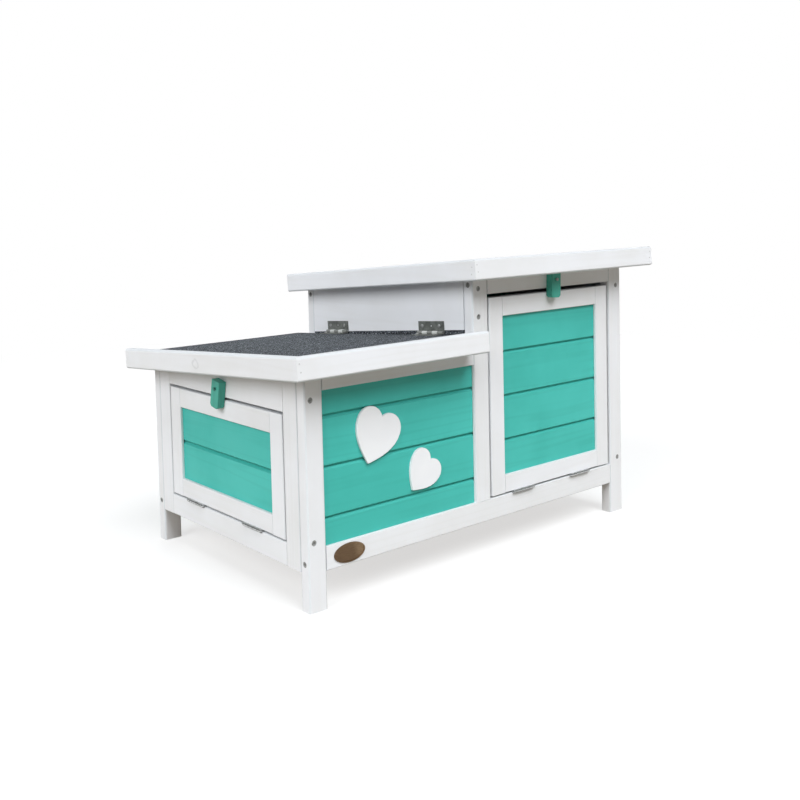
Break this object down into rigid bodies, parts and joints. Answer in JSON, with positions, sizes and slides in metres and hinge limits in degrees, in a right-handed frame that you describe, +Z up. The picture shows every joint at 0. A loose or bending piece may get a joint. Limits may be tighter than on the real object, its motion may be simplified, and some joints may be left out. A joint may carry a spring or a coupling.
{
  "type": "rabbit house",
  "caption": "Wooden rabbit house with a low room under a hinged lid, a tall room under a fixed roof, and bottom-hinged doors held by turn-buttons.",
  "frame": {"origin": "on the ground, under the middle of the whole outline", "axes": "+Z up, the front with the tall door faces -Y, the low room is at -X"},
  "size_m": [0.707, 0.456, 0.4298],
  "materials": {
    "white_paint": "satin white paint on planed wood",
    "teal_paint": "satin teal paint on tongue-and-groove planks",
    "latch_paint": "teal paint on small blocks",
    "roofing_felt": "bitumen felt with dark slate granules",
    "zinc": "zinc plated, slightly dulled",
    "bronze": "dark bronze",
    "bare_wood": "planed, unpainted"
  },
  "bodies": {
    "house": {"front_left_post": "white_paint", "front_centre_post": "white_paint", "front_right_post": "white_paint", "back_left_post": "white_paint", "back_centre_post": "white_paint", "back_right_post": "white_paint", "front_bottom_rail": "white_paint", "back_bottom_rail": "white_paint", "front_low_top_rail": "white_paint", "front_tall_top_rail": "white_paint", "back_low_top_rail": "white_paint", "back_tall_top_rail": "white_paint", "left_end_stiles": "white_paint", "left_end_bottom_rail": "white_paint", "left_end_top_rail": "white_paint", "right_end_stiles": "white_paint", "right_end_bottom_rail": "white_paint", "right_end_top_rail": "white_paint", "middle_beam": "white_paint", "step_wall": "white_paint", "front_planks": "teal_paint", "back_low_planks": "teal_paint", "back_tall_planks": "teal_paint", "right_end_planks": "teal_paint", "floor_boards": "bare_wood", "floor_bearers": "bare_wood", "tall_roof_board": "white_paint", "tall_roof_felt": "roofing_felt", "tall_front_fascia": "white_paint", "tall_back_fascia": "white_paint", "tall_left_fascia": "white_paint", "tall_right_fascia": "white_paint", "lid_hinge_wall_leaves": "zinc", "door_hinge_frame_leaves": "zinc", "hinge_pins": "zinc", "wall_leaf_screws": "zinc", "latch_screws": "zinc", "large_heart": "white_paint", "small_heart": "white_paint", "oval_plate": "bronze", "frame_screws": "zinc"},
    "lid": {"lid_board": "white_paint", "lid_felt": "roofing_felt", "lid_front_fascia": "white_paint", "lid_left_fascia": "white_paint", "lid_back_fascia": "white_paint", "lid_hinge_lid_leaves": "zinc", "lid_leaf_screws": "zinc"},
    "left_door": {"left_door_stiles": "white_paint", "left_door_top_rail": "white_paint", "left_door_bottom_rail": "white_paint", "left_door_planks": "teal_paint", "left_door_hinge_leaves": "zinc"},
    "tall_door": {"tall_door_stiles": "white_paint", "tall_door_top_rail": "white_paint", "tall_door_bottom_rail": "white_paint", "tall_door_planks": "teal_paint", "tall_door_hinge_leaves": "zinc"},
    "left_button": {"left_latch": "latch_paint"},
    "tall_button": {"tall_latch": "latch_paint"}
  },
  "joints": [
    {"name": "lid_hinge", "type": "hinge", "parent": "house", "child": "lid", "pos_m": [-0.02505, 0.00997, 0.30912], "axis": [0, 0.9974, -0.0715], "range_deg": [0, 65]},
    {"name": "left_door_hinge", "type": "hinge", "parent": "house", "child": "left_door", "pos_m": [-0.31881, 0.00997, 0.0812], "axis": [0, -1, 0], "range_deg": [0, 118]},
    {"name": "tall_door_hinge", "type": "hinge", "parent": "house", "child": "tall_door", "pos_m": [0.14575, -0.19034, 0.0812], "axis": [1, 0, 0], "range_deg": [0, 105]},
    {"name": "left_button_turn", "type": "hinge", "parent": "house", "child": "left_button", "pos_m": [-0.3165, 0.00697, 0.26034], "axis": [1, 0, 0], "range_deg": [-90, 90]},
    {"name": "tall_button_turn", "type": "hinge", "parent": "house", "child": "tall_button", "pos_m": [0.14575, -0.18803, 0.38902], "axis": [0, 1, 0], "range_deg": [-90, 90]}
  ]
}
